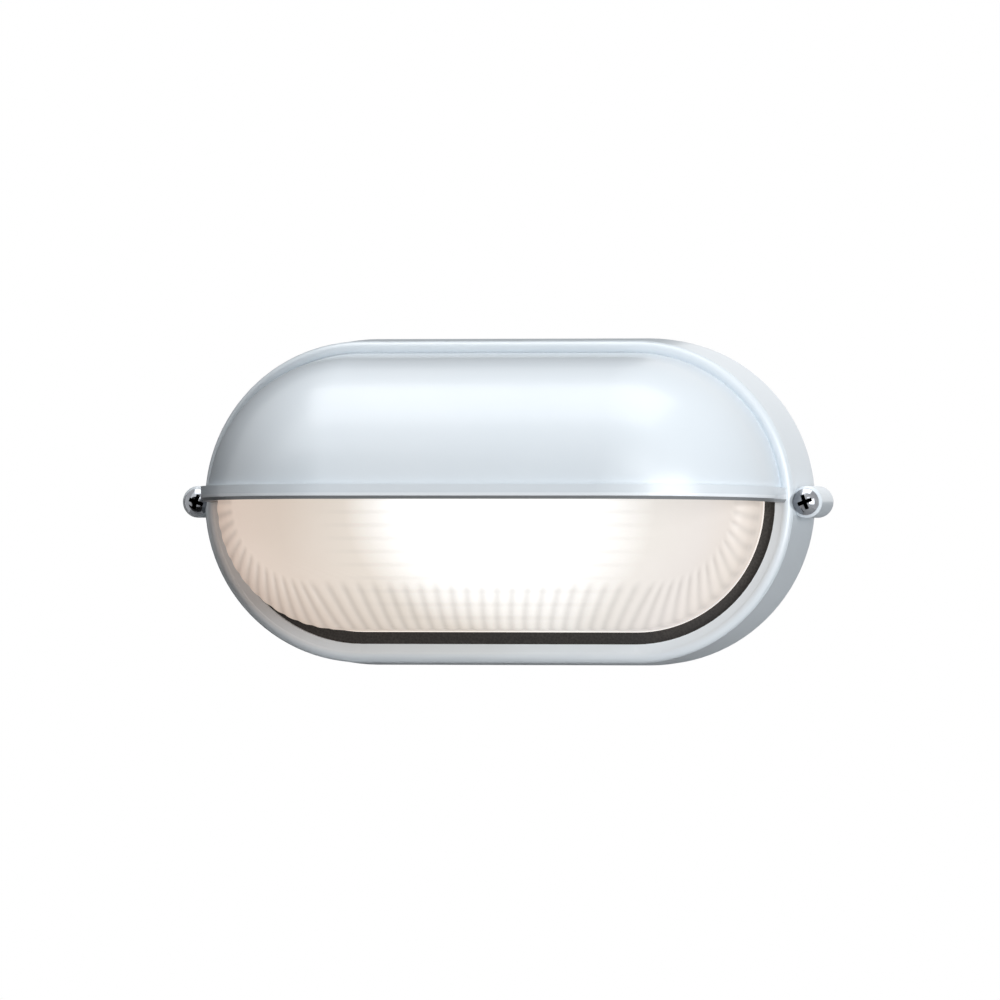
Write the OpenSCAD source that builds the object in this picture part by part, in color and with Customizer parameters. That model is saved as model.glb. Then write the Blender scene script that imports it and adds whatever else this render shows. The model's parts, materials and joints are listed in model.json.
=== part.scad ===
// Oval bulkhead wall light with an eyelid hood over a ribbed glass bowl.
// The origin is the centre of the wall face, -Y points into the room and +Z is up.
// Modules draw in a wall frame: x along the light, y up and z out from the wall.

/* [Outline] */
// Half the distance between the centres of the two round ends
half_run = 45.7; // [35:0.1:60]
// Radius of the round ends at the front of the frame
front_r = 52.5; // [50.5:0.1:56]
// How much larger that radius is at the wall
flare = 1.5; // [0.5:0.1:3]

/* [Frame] */
// Distance from the wall to the front of the frame
frame_front = 35.4; // [32:0.1:45]
// Distance from the wall to the back edge of the frame's skirt
frame_back = 8.5; // [7:0.1:11]
// Thickness of the skirt
skirt_wall = 2.6; // [2:0.1:3]
// Width of the band between the outer edge and the window
band_w = 6; // [5.5:0.1:7]
// How far the band falls back towards the window
band_fall = 1.8; // [0.5:0.1:2.5]
// Thickness of the lip at the window
lip_t = 2.4; // [1.8:0.1:3]
// Rounding of the outer front edge
edge_r = 2; // [1:0.1:2.5]

/* [Hood] */
// Distance from the outer edge of the frame to the foot of the hood
hood_inset = 3.9; // [3:0.1:4.5]
// Thickness of the hood
hood_wall = 2; // [1.6:0.1:2.1]
// Height of the hood's side above the frame before it rounds over
hood_spring = 10.5; // [8:0.1:16]
// How much the hood's round top is narrower than its foot
hood_taper = 1.1; // [0.6:0.1:1.6]
// Height of the hood's lower edge above the middle, at the frame
hood_cut = 1.8; // [0.5:0.1:4]
// Height of the brim along that edge
brim_h = 2.8; // [2:0.1:5]
// How far the brim stands out from the hood
brim_out = 2.2; // [1:0.1:3]
// Rise of the lower edge towards the front, in degrees
brim_rise = 1.2; // [0:0.1:3]

/* [Glass] */
// Width of the gasket seen between the window and the glass
gasket_show = 4.1; // [3:0.1:5]
// Thickness of the glass
glass_t = 3.2; // [2.5:0.1:4]
// Thickness of the glass flange
flange_t = 4; // [3:0.1:5]
// Overlap of the flange behind the lip
flange_lap = 1.1; // [0.6:0.1:1.6]
// Inward lean of the glass wall between flange and shoulder
glass_lean = 0.9; // [0.4:0.1:1.6]
// Height of the glass wall above the frame's front
wall_up = 12.6; // [11:0.1:16]
// Height of the rounded shoulder between wall and front panel
shoulder_h = 12; // [10:0.1:15]
// Width of the shoulder along the straight sides
side_shoulder = 16.5; // [12:0.1:18]
// Width of the shoulder at the two ends
end_shoulder = 4.7; // [4:0.1:8]
// Ribs along each straight side
side_ribs = 22; // [12:1:26]
// Ribs round each end
end_ribs = 26; // [16:1:30]
// Depth of the grooves between the ribs
rib_depth = 0.7; // [0.3:0.1:1]
// Width of the cutter of each groove, at its top
groove_w = 4; // [3:0.1:4.4]

/* [Gasket and housing] */
// Thickness of each leaf of the gasket
gasket_t = 2; // [1.5:0.1:2.4]
// Thickness of the gasket's outer web
gasket_web = 1.3; // [1:0.1:1.5]
// Thickness of the housing's floor
floor_t = 3; // [2.5:0.1:4]
// Thickness of the housing's inner wall
upstand_wall = 2.8; // [2:0.1:3.5]
// Thickness of the housing's rim and ledge
rim_wall = 2.6; // [2:0.1:3]
// Step of the housing behind the skirt
rim_step = 0.5; // [0.2:0.1:1]

/* [Frame screws] */
// Distance of the frame screws from the outer edge of the skirt's front
screw_out = 3.5; // [3.2:0.1:4.5]
// Shank radius of the frame screws
screw_r = 2; // [1.6:0.1:2.4]
// Head radius of the frame screws
screw_head_r = 4.3; // [3.8:0.1:4.8]
// Head height of the frame screws
screw_head_h = 3; // [2.5:0.1:3.5]
// Radius of the bosses on the frame
boss_r = 5.2; // [5:0.1:6]
// Distance from the frame's front back to the screw seats
boss_back = 5.8; // [4.5:0.1:8]
// Radius of the ears on the housing
ear_r = 4.2; // [3.6:0.1:4.6]
// Thickness of the ears
ear_t = 4.5; // [3.5:0.1:6]

/* [Wall fixing] */
// Distance between the middles of the two wall slots
slot_spacing = 79.4; // [70:0.1:85]
// End to end length of a wall slot
slot_length = 14.5; // [10:0.1:16]
// Half width of a wall slot
slot_r = 2.5; // [2:0.1:3]
// Height of the cable entry above the middle
entry_up = 26; // [20:0.1:30]
// Radius of the cable entry
entry_r = 5; // [4:0.1:6]

/* [Lamp] */
// Distance from the wall to the lamp's axis
lamp_out = 31; // [30:0.1:32]
// Radius of the lamp's globe
globe_r = 22.5; // [20:0.1:23]
// Length of the lamp
lamp_l = 100; // [90:1:106]
// Radius of the lamp's screw cap
cap_r = 13.2; // [12.5:0.1:13.5]
// Length of the lamp's screw cap
cap_l = 25; // [22:0.1:27]
// Radius of the lamp's neck above the cap
neck_r = 14.5; // [13.8:0.1:16]
// Distance from the end of the frame to the back of the lampholder
holder_in = 22.2; // [21:0.1:25]
// Length of the lampholder
holder_l = 33; // [31:0.1:34]
// Radius of the lampholder
holder_r = 19; // [18:0.1:20]
// Depth of the socket in the lampholder
socket_d = 26; // [24:0.1:27]

/* [Bracket] */
// Thickness of the bracket's sheet
sheet_t = 1.5; // [1:0.1:2]
// Width of the bracket
bracket_w = 26; // [24:0.5:28]
// Length of the bracket's foot
foot_l = 24; // [22:0.5:28]
// Height of the pads under the foot
pad_h = 2; // [1:0.1:3]
// Distance of each bracket screw from the bracket's middle line
bracket_screw_off = 8; // [6:0.1:9]

/* [Wiring] */
// Length of the terminal block along the light
block_l = 20; // [18:0.5:24]
// Width of the terminal block
block_w = 16; // [15:0.5:18]
// Height of the terminal block
block_h = 13; // [12:0.5:14]
// Gap between the terminal block and the housing's inner wall
block_gap = 6.1; // [4:0.1:7]
// Distance between the block's two ways
way_pitch = 8; // [7:0.1:9]
// Radius of each lead
lead_r = 1.3; // [1:0.1:1.5]
// Bend radius of the leads
lead_bend = 4; // [3:0.1:5]
// Half the distance between the lead entries of the lampholder
entry_half = 7; // [6:0.1:8]

/* [Hidden] */
$fn = 96;
// Running clearance round screws, leads and the lamp cap
clear = 0.1;
// Clearance between the gasket and the glass wall
glass_gap = 0.2;
// Overlap by which a cutter passes a face
past = 1;

// The tapered outside of the frame and housing, and the inside of the skirt
back_r = front_r + flare;
function outline_r(t) = back_r - (back_r - front_r) * t / frame_front;
function skirt_in(t) = outline_r(t) - skirt_wall;

// The clamped stack: lip, gasket leaf, glass flange, gasket leaf, housing wall
window_r = front_r - band_w;
lip_front = frame_front - band_fall;
lip_back = lip_front - lip_t;
flange_front = lip_back - gasket_t;
flange_back = flange_front - flange_t;
seat = flange_back - gasket_t;
glass_r = window_r - gasket_show;
flange_r = window_r + flange_lap;
gasket_out = flange_r + gasket_web;
upstand_in = gasket_out - upstand_wall;

// The hood: a straight foot that runs tangent into a round top
hood_foot_r = front_r - hood_inset;
hood_top_r = hood_foot_r - hood_taper;
hood_centre = frame_front + hood_spring;
hood_root = lip_front - lip_t / 2;
hood_swing = atan2(-hood_spring, hood_foot_r) + acos(hood_top_r / norm([hood_foot_r, hood_spring]));

// The glass: wall, shoulder and front panel
wall_top = frame_front + wall_up;
wall_top_r = glass_r - glass_lean;
panel_t = wall_top + shoulder_h;
panel_r = wall_top_r - side_shoulder;
panel_end = half_run + wall_top_r - end_shoulder;
shoulder_steps = 8;
// The grooves run from a plain collar above the gasket to near the panel, at these angles of the shoulder
collar = 3;
// How far the groove's cutter stands out of the glass
lift = 0.8;
groove_angles = [0, 20, 40, 60, 78];

// The screws' line beside the skirt
screw_x = half_run + front_r + screw_out;
boss_front = frame_front - boss_back;

// The lampholder, its bracket and the lamp
holder_back = holder_in - half_run - front_r;
mouth_x = holder_back + holder_l;
contact_t = 1.2;
shell_t = 0.6;
shell_l = 20;
lamp_x = mouth_x - socket_d + contact_t;
foot_t = floor_t + pad_h;
bracket_x = holder_back - sheet_t;
foot_screw_in = 7;
foot_screw_x = bracket_x + foot_l - foot_screw_in;
small_screw_r = 1.5;
small_head_r = 3;
small_head_h = 2.2;

// The terminal block and the leads
block_x = 4;
block_down = upstand_in - block_gap - block_w / 2;
way_up = 6;
way_t = floor_t + way_up;
way_r = lead_r + 2 * clear;
lead_in = 6;
live_in = 10;
neutral_in = 5;
live_x = holder_back + live_in;
neutral_x = holder_back + neutral_in;
lead_hole = 4;
well_r = 2;

// The earth point on the floor
earth_gap = 18.1;
earth_at = [30, earth_gap - upstand_in];
earth_boss_h = 3;
washer_t = 1;

// Turns the wall frame so that its z points into the room and its y up
module on_wall() rotate([90, 0, 0]) children();

// Carries a profile of radius and distance from the wall round the whole oval
module round_oval() {
    for (side = [0, 180])
        rotate([0, 0, side]) {
            translate([-half_run, 0, 0])
                rotate([90, 0, 90])
                    linear_extrude(2 * half_run) children();
            translate([half_run, 0, 0])
                rotate([0, 0, -90])
                    rotate_extrude(angle = 180) children();
        }
}

// Carries a profile round the upper half of the oval only
module round_upper_half() {
    translate([-half_run, 0, 0])
        rotate([90, 0, 90])
            linear_extrude(2 * half_run) children();
    translate([half_run, 0, 0])
        rotate_extrude(angle = 90) children();
    translate([-half_run, 0, 0])
        rotate([0, 0, 90])
            rotate_extrude(angle = 90) children();
}

// A pan head with a cross recess, its seat at z = 0
module pan_head(r, h) {
    dome_r = (r * r + h * h) / (2 * h) + h / 4;
    recess_w = r * 0.3;
    recess_l = r * 1.15;
    difference() {
        intersection() {
            cylinder(r = r, h = h);
            translate([0, 0, h - dome_r]) sphere(r = dome_r);
        }
        for (turn = [0, 90])
            rotate([0, 0, turn])
                translate([-recess_l / 2, -recess_w / 2, h * 0.45])
                    cube([recess_l, recess_w, h]);
    }
}

// A screw with a pan head, its seat at z = 0 and its shank below
module pan_screw(r, l, head_r, head_h) {
    translate([0, 0, -l]) cylinder(r = r, h = l);
    pan_head(head_r, head_h);
}

// The housing: floor, inner wall, ledge and rim in one section
module housing_section() {
    ledge_under = frame_back - rim_wall;
    rim_in = outline_r(0) - rim_step - rim_wall;
    polygon([[0, 0], [gasket_out, 0], [gasket_out, ledge_under], [rim_in, ledge_under], [rim_in, 0],
        [outline_r(0) - rim_step, 0], [outline_r(frame_back) - rim_step, frame_back],
        [gasket_out, frame_back], [gasket_out, seat], [upstand_in, seat],
        [upstand_in, floor_t], [0, floor_t]]);
}

module wall_slots() {
    straight = slot_length - 2 * slot_r;
    for (side = [-1, 1])
        translate([side * slot_spacing / 2, 0, -past])
            linear_extrude(floor_t + 2 * past) {
                square([straight, 2 * slot_r], center = true);
                for (end = [-1, 1])
                    translate([end * straight / 2, 0]) circle(r = slot_r);
            }
}

module foot_places() {
    for (side = [-1, 1])
        translate([foot_screw_x, side * bracket_screw_off, 0]) children();
}

module back_housing() color("white") on_wall() {
    pad_r = 4.5;
    earth_boss_r = 5;
    ear_back = frame_back - ear_t;
    difference() {
        union() {
            round_oval() housing_section();
            for (side = [-1, 1])
                rotate([0, 0, side * 90 - 90])
                    translate([0, 0, ear_back]) {
                        translate([screw_x, 0, 0]) cylinder(r = ear_r, h = ear_t);
                        translate([screw_x - screw_out - ear_r, -ear_r, 0])
                            cube([screw_out + ear_r, 2 * ear_r, ear_t]);
                    }
            foot_places() cylinder(r = pad_r, h = foot_t);
            translate([earth_at.x, earth_at.y, 0]) cylinder(r = earth_boss_r, h = floor_t + earth_boss_h);
        }
        for (side = [-1, 1])
            translate([side * screw_x, 0, -past]) cylinder(r = screw_r, h = frame_back + 2 * past);
        wall_slots();
        translate([0, entry_up, -past]) cylinder(r = entry_r + grommet_wall, h = floor_t + 2 * past);
        foot_places() translate([0, 0, floor_t / 2]) cylinder(r = small_screw_r, h = foot_t);
        translate([earth_at.x, earth_at.y, floor_t / 2]) cylinder(r = screw_r, h = foot_t + earth_boss_h);
        translate([block_x, -block_down, floor_t / 2]) cylinder(r = small_screw_r, h = floor_t);
    }
}

// The frame: skirt, rounded outer edge, sloping band and lip in one section
module frame_section() {
    edge_c = [front_r - edge_r, frame_front - edge_r];
    polygon([[skirt_in(frame_back), frame_back], [outline_r(frame_back), frame_back],
        [outline_r(edge_c.y), edge_c.y], [edge_c.x, edge_c.y], [edge_c.x, frame_front],
        [window_r, lip_front], [window_r, lip_back], [skirt_in(lip_back), lip_back]]);
    translate(edge_c) circle(r = edge_r);
}

// The solid inside the hood's outer face, set in by a distance all over
module hood_solid(inset) {
    top_r = hood_top_r - inset;
    out = [cos(hood_swing), sin(hood_swing)];
    touch = [top_r * out.x, hood_centre + top_r * out.y];
    foot = touch.x + (touch.y - hood_root) * tan(hood_swing);
    polygon([[0, hood_root], [foot, hood_root], touch, [0, touch.y]]);
    intersection() {
        translate([0, hood_centre]) circle(r = top_r);
        translate([0, touch.y]) square([2 * top_r, 2 * top_r]);
    }
}

// The hood seen from above, grown by a distance all round
module hood_plan(grow) {
    top_r = hood_top_r + grow;
    foot = half_run + hood_foot_r + grow;
    polygon([[-foot, hood_root], [foot, hood_root], [half_run + top_r, hood_centre], [-half_run - top_r, hood_centre]]);
    translate([-half_run, hood_root]) square([2 * half_run, hood_centre + top_r - hood_root]);
    for (side = [-1, 1])
        translate([side * half_run, hood_centre])
            intersection() {
                circle(r = top_r);
                translate([-top_r, 0]) square([2 * top_r, top_r]);
            }
}

// Sets the plane of the hood's lower edge at y = 0, with z still the distance from the wall
module on_edge()
    translate([0, hood_cut, frame_front]) rotate([-brim_rise, 0, 0]) translate([0, 0, -frame_front]) children();

module hood() {
    reach = half_run + back_r;
    intersection() {
        round_upper_half() difference() {
            hood_solid(0);
            hood_solid(hood_wall);
        }
        on_edge() translate([-reach, 0, 0]) cube([2 * reach, reach, reach]);
    }
    on_edge() translate([0, brim_h, 0]) rotate([90, 0, 0])
        linear_extrude(brim_h) difference() {
            hood_plan(brim_out);
            hood_plan(-hood_wall / 2);
        }
}

// The two screw bosses, which end in the middle of the skirt's wall
module bosses() {
    seat_edge = 0.8;
    mid_wall = skirt_wall / 2;
    straight = boss_front - seat_edge - frame_back;
    difference() {
        for (side = [-1, 1])
            translate([side * screw_x, 0, frame_back]) {
                cylinder(r = boss_r, h = straight);
                translate([0, 0, straight]) cylinder(r1 = boss_r, r2 = boss_r - seat_edge, h = seat_edge);
            }
        round_oval() polygon([[0, 0], [outline_r(0) - mid_wall, 0],
            [outline_r(frame_front) - mid_wall, frame_front], [0, frame_front]]);
    }
}

module front_frame() color("white") on_wall() {
    difference() {
        union() {
            round_oval() frame_section();
            hood();
            bosses();
        }
        for (side = [-1, 1])
            translate([side * screw_x, 0, 0]) {
                cylinder(r = screw_r + clear, h = boss_front);
                translate([0, 0, boss_front]) cylinder(r = screw_head_r + clear, h = frame_front);
            }
    }
}

// A layer of the glass at an angle of its shoulder: half run, radius and distance from the wall
function glass_layer(angle, inset) =
    let (r = panel_r + (side_shoulder - inset) * cos(angle),
        end = panel_end - inset / 2 + (end_shoulder - inset / 2) * cos(angle))
    [end - r, r, wall_top + (shoulder_h - inset) * sin(angle)];

// A tapered slice of the glass between two layers, at its two round ends
module glass_slice(low, high)
    for (side = [-1, 1])
        translate([side * low[0], 0, low[2]]) cylinder(r1 = low[1], r2 = high[1], h = high[2] - low[2]);

// The solid inside the glass's outer face, set in by a distance: wall, shoulder and front panel
module glass_solid(inset) {
    turn = 90 / shoulder_steps;
    top = glass_layer(90, inset);
    hull() {
        glass_slice([half_run, glass_r - inset, flange_back], [half_run, wall_top_r - inset, wall_top]);
        for (step = [0:shoulder_steps - 1])
            glass_slice(glass_layer(step * turn, inset), glass_layer((step + 1) * turn, inset));
        glass_slice([top[0], top[1], wall_top], top);
    }
}

// A place on the glass at a share of the straight side, or at a turn of the round end:
// its point, the direction out of the glass and the direction across the groove
function glass_place(share, turn, layer, angle) =
    let (reach = side_shoulder - (side_shoulder - end_shoulder) * cos(turn),
        steep = [shoulder_h * cos(angle), reach * sin(angle)],
        out = steep / norm(steep))
    [[share * layer[0] + layer[1] * cos(turn), layer[1] * sin(turn), layer[2]],
        [out.x * cos(turn), out.x * sin(turn), out.y], [-sin(turn), cos(turn), 0]];

// The cutter of one groove: a three-sided bar that rises out of the glass at both ends
module glass_groove(share, turn) {
    foot = glass_place(share, turn, [half_run, glass_r, frame_front + collar], 0);
    places = concat([foot], [for (a = groove_angles) glass_place(share, turn, glass_layer(a, 0), a)]);
    last = len(places) - 1;
    points = [for (i = [0:last])
        let (p = places[i], depth = i == 0 || i == last ? -lift / 2 : rib_depth)
        each [p[0] - depth * p[1], p[0] + lift * p[1] + groove_w / 2 * p[2], p[0] + lift * p[1] - groove_w / 2 * p[2]]];
    sides = [for (i = [0:last - 1], k = [0:2])
        let (a = 3 * i + k, b = 3 * i + (k + 1) % 3)
        each [[a, b, b + 3], [a, b + 3, a + 3]]];
    polyhedron(points, concat([[0, 2, 1], [3 * last, 3 * last + 1, 3 * last + 2]], sides));
}

module glass_grooves() {
    for (flip = [0, 180])
        rotate([0, 0, flip]) {
            for (i = [0:side_ribs - 1])
                glass_groove((2 * i + 1) / side_ribs - 1, 90);
            for (i = [0:end_ribs - 1])
                glass_groove(1, (i + 0.5) * 180 / end_ribs - 90);
        }
}

module glass_diffuser() color("linen") on_wall()
    difference() {
        union() {
            glass_solid(0);
            round_oval() translate([0, flange_back]) square([flange_r, flange_t]);
        }
        glass_solid(glass_t, $fn = 48);
        glass_grooves();
    }

// The gasket: two leaves and an outer web round the glass flange
module glass_gasket() color("#2b2826") on_wall() {
    inner = glass_r + glass_gap;
    round_oval() difference() {
        translate([inner, seat]) square([gasket_out - inner, lip_back - seat]);
        translate([inner - past, flange_back]) square([flange_r - inner + past, flange_t]);
    }
}

module frame_screws() color("silver") on_wall()
    for (side = [-1, 1])
        translate([side * screw_x, 0, boss_front])
            rotate([0, 0, side * 20])
                pan_screw(screw_r, boss_front - frame_back + ear_t, screw_head_r, screw_head_h);

module lampholder_bracket() color("gainsboro") on_wall() {
    upright_top = lamp_out + holder_r * 0.7;
    difference() {
        translate([bracket_x, -bracket_w / 2, foot_t]) {
            cube([sheet_t, bracket_w, upright_top - foot_t]);
            cube([foot_l, bracket_w, sheet_t]);
        }
        foot_places() cylinder(r = small_screw_r + clear, h = foot_t + sheet_t + past);
        for (side = [-1, 1])
            translate([bracket_x - past, side * bracket_screw_off, lamp_out])
                rotate([0, 90, 0]) cylinder(r = small_screw_r + clear, h = sheet_t + 2 * past);
    }
}

module bracket_screws() color("silver") on_wall()
    foot_places() translate([0, 0, foot_t + sheet_t])
        pan_screw(small_screw_r, foot_t + sheet_t - floor_t / 2, small_head_r, small_head_h);

// Length of the screws that hold the lampholder to its bracket
holder_screw_l = 5;

module holder_screws() color("silver") on_wall()
    for (side = [-1, 1])
        translate([bracket_x, side * bracket_screw_off, lamp_out])
            rotate([0, -90, 0]) pan_screw(small_screw_r, holder_screw_l, small_head_r, small_head_h);

module lampholder_body() color("ivory") on_wall() {
    collar_l = 8;
    collar_in = 1.5;
    difference() {
        translate([holder_back, 0, lamp_out])
            rotate([0, 90, 0]) {
                cylinder(r = holder_r, h = holder_l - collar_l);
                cylinder(r = holder_r - collar_in, h = holder_l);
            }
        translate([mouth_x - socket_d, 0, lamp_out])
            rotate([0, 90, 0]) cylinder(r = cap_r + clear + shell_t, h = socket_d + past);
        for (side = [-1, 1])
            translate([holder_back - past, side * bracket_screw_off, lamp_out])
                rotate([0, 90, 0]) cylinder(r = small_screw_r, h = holder_screw_l - sheet_t + past);
        lead_entry(live_x, -entry_half);
        lead_entry(neutral_x, entry_half);
    }
}

// Distance out at which the lampholder's underside meets a lead
function holder_under(y) = lamp_out - sqrt(holder_r * holder_r - y * y);

module lead_entry(x, y)
    translate([x, y, holder_under(y) - lead_hole])
        cylinder(r = lead_r + clear, h = 2 * lead_hole);

module lampholder_shell() color("goldenrod") on_wall()
    translate([mouth_x - socket_d + contact_t, 0, lamp_out])
        rotate([0, 90, 0])
            difference() {
                cylinder(r = cap_r + clear + shell_t, h = shell_l);
                translate([0, 0, -past]) cylinder(r = cap_r + clear, h = shell_l + 2 * past);
            }

module centre_contact() color("goldenrod") on_wall() {
    contact_r = 5;
    rivet_r = 2.5;
    difference() {
        translate([mouth_x - socket_d, 0, lamp_out])
            rotate([0, 90, 0]) cylinder(r = contact_r, h = contact_t);
        translate([mouth_x - socket_d + contact_t / 2, 0, lamp_out])
            rotate([0, 90, 0])
                difference() {
                    cylinder(r = contact_r + past, h = contact_t);
                    translate([0, 0, -past]) cylinder(r = rivet_r, h = contact_t + 2 * past);
                }
    }
}

module lamp() color("white") on_wall() {
    globe_c = lamp_l - globe_r;
    neck_end = cap_l + 9;
    swing = atan2(neck_end - globe_c, neck_r) + acos(globe_r / norm([neck_r, globe_c - neck_end]));
    touch = [globe_r * cos(swing), globe_c + globe_r * sin(swing)];
    tip_l = 3;
    tip_r = 5;
    translate([lamp_x, 0, lamp_out])
        rotate([0, 90, 0])
            rotate_extrude() {
                polygon([[0, 0], [tip_r, 0], [cap_r, tip_l], [cap_r, cap_l], [neck_r, neck_end], touch, [0, touch.y]]);
                intersection() {
                    translate([0, globe_c]) circle(r = globe_r);
                    translate([0, touch.y]) square([globe_r, 2 * globe_r]);
                }
            }
}

module each_way() {
    for (side = [-1, 1])
        translate([block_x, -block_down + side * way_pitch / 2, way_t]) children();
}

module each_terminal() {
    for (end = [-1, 1])
        each_way() translate([end * block_l / 4, 0, 0]) children();
}

module terminal_block() color("whitesmoke") on_wall() {
    block_top = floor_t + block_h;
    recess = small_head_h + 1;
    difference() {
        translate([block_x - block_l / 2, -block_down - block_w / 2, floor_t])
            cube([block_l, block_w, block_h]);
        each_way() rotate([0, 90, 0]) cylinder(r = way_r, h = block_l + 2 * past, center = true);
        each_terminal() cylinder(r = well_r, h = block_h);
        translate([block_x, -block_down, 0]) cylinder(r = small_screw_r + clear, h = block_top + past);
        translate([block_x, -block_down, block_top - recess]) cylinder(r = small_head_r + clear, h = recess + past);
    }
}

// A slotted grub screw in each terminal, standing on the lead or on the way's floor
module terminal_screws() color("goldenrod") on_wall() {
    screw_l = 5;
    slot_w = 0.6;
    each_terminal() translate([0, 0, lead_r])
        difference() {
            cylinder(r = well_r, h = screw_l);
            translate([-well_r - past, -slot_w / 2, screw_l - 1])
                cube([2 * (well_r + past), slot_w, screw_l]);
        }
}

module block_screw() color("silver") on_wall() {
    seat_t = floor_t + block_h - small_head_h - 1;
    translate([block_x, -block_down, seat_t])
        pan_screw(small_screw_r, seat_t - floor_t / 2, small_head_r, small_head_h);
}

// A lead from one way of the block, along the floor, across and up into the lampholder
module lead(way_y, x, y) {
    start = block_x - block_l / 2 + lead_in;
    top = holder_under(y) + lead_hole - 2 * clear;
    translate([x + lead_bend, way_y, way_t])
        rotate([0, 90, 0]) cylinder(r = lead_r, h = start - x - lead_bend);
    translate([x + lead_bend, way_y + lead_bend, way_t])
        rotate([0, 0, 180]) rotate_extrude(angle = 90) translate([lead_bend, 0]) circle(r = lead_r);
    translate([x, y - lead_bend, way_t])
        rotate([90, 0, 0]) cylinder(r = lead_r, h = y - way_y - 2 * lead_bend);
    translate([x, y - lead_bend, way_t + lead_bend])
        rotate([90, 0, 90])
            rotate([0, 0, -90]) rotate_extrude(angle = 90) translate([lead_bend, 0]) circle(r = lead_r);
    translate([x, y, way_t + lead_bend])
        cylinder(r = lead_r, h = top - way_t - lead_bend);
}

module lead_live() color("saddlebrown") on_wall()
    lead(-block_down + way_pitch / 2, live_x, -entry_half);

module lead_neutral() color("steelblue") on_wall()
    lead(-block_down - way_pitch / 2, neutral_x, entry_half);

module earth_washer() color("goldenrod") on_wall() {
    washer_r = 4.6;
    translate([earth_at.x, earth_at.y, floor_t + earth_boss_h])
        difference() {
            cylinder(r = washer_r, h = washer_t);
            translate([0, 0, -past]) cylinder(r = screw_r + clear, h = washer_t + 2 * past);
        }
}

module earth_screw() color("goldenrod") on_wall()
    translate([earth_at.x, earth_at.y, floor_t + earth_boss_h + washer_t])
        pan_screw(screw_r, earth_boss_h + washer_t + floor_t / 2, screw_head_r - 0.4, screw_head_h - 0.4);

// Wall of the cable grommet and the size of its inner flange
grommet_wall = 2.5;
grommet_flange = 2;

module cable_grommet() color("#2b2826") on_wall()
    translate([0, entry_up, 0])
        difference() {
            union() {
                cylinder(r = entry_r + grommet_wall, h = floor_t);
                translate([0, 0, floor_t])
                    cylinder(r = entry_r + grommet_wall + grommet_flange, h = grommet_flange);
            }
            translate([0, 0, -past]) cylinder(r = entry_r, h = floor_t + grommet_flange + 2 * past);
        }

back_housing();
front_frame();
glass_diffuser();
glass_gasket();
frame_screws();
lampholder_bracket();
bracket_screws();
holder_screws();
lampholder_body();
lampholder_shell();
centre_contact();
lamp();
terminal_block();
terminal_screws();
block_screw();
lead_live();
lead_neutral();
earth_screw();
earth_washer();
cable_grommet();
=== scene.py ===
"""Looks of an oval bulkhead wall light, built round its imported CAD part.

The origin is the middle of the wall face, +X runs along the light, +Y into the wall and +Z up.
All lengths are in metres.
"""

import json
import logging
import math
from dataclasses import dataclass
from enum import Enum

import bmesh
import bpy
from mathutils import Matrix, Vector

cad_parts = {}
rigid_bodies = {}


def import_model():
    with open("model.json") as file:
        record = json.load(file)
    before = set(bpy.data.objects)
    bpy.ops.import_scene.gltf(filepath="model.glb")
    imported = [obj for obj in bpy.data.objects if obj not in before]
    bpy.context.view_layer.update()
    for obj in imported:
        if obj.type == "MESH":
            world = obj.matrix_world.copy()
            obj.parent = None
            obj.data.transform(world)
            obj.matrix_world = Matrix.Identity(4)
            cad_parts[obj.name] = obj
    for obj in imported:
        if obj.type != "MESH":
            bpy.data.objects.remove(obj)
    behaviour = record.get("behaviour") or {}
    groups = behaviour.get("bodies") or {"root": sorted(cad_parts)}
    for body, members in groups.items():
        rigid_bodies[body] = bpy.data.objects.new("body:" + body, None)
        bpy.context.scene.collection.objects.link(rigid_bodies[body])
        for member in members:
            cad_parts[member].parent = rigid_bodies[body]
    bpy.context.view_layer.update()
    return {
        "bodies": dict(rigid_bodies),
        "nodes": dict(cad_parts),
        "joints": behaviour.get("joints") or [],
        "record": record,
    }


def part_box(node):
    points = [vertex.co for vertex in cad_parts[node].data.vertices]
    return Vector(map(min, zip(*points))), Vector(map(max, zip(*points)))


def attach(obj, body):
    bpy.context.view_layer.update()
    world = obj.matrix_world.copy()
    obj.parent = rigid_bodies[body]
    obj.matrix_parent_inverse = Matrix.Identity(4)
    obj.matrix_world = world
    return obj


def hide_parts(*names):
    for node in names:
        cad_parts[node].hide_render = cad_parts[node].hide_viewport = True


LOG = logging.getLogger("bulkhead_light")
MM = 0.001
BODY = "root"
CREASE = math.radians(38.0)
DAYLIGHT = (0.97, 0.985, 1.0)
RIB_LAYER = "rib"
# Mesh attribute that marks where shade is painted on the lip's lower edge.
UNDER_SHADE_LAYER = "under"

Triple = tuple[float, float, float]
Colour = Triple
Glow = tuple[tuple[float, Colour], ...]


class Slot(Enum):
    """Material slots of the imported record."""

    WHITE_PAINT = "white_paint"
    FROSTED_GLASS = "frosted_glass"
    DARK_FOAM = "dark_foam"
    BRIGHT_SCREW = "bright_screw"
    PLATED_SHEET = "plated_sheet"
    PORCELAIN = "porcelain"
    BRASS = "brass"
    LAMP_WHITE = "lamp_white"
    NYLON = "nylon"
    BROWN_SLEEVE = "brown_sleeve"
    BLUE_SLEEVE = "blue_sleeve"


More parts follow.
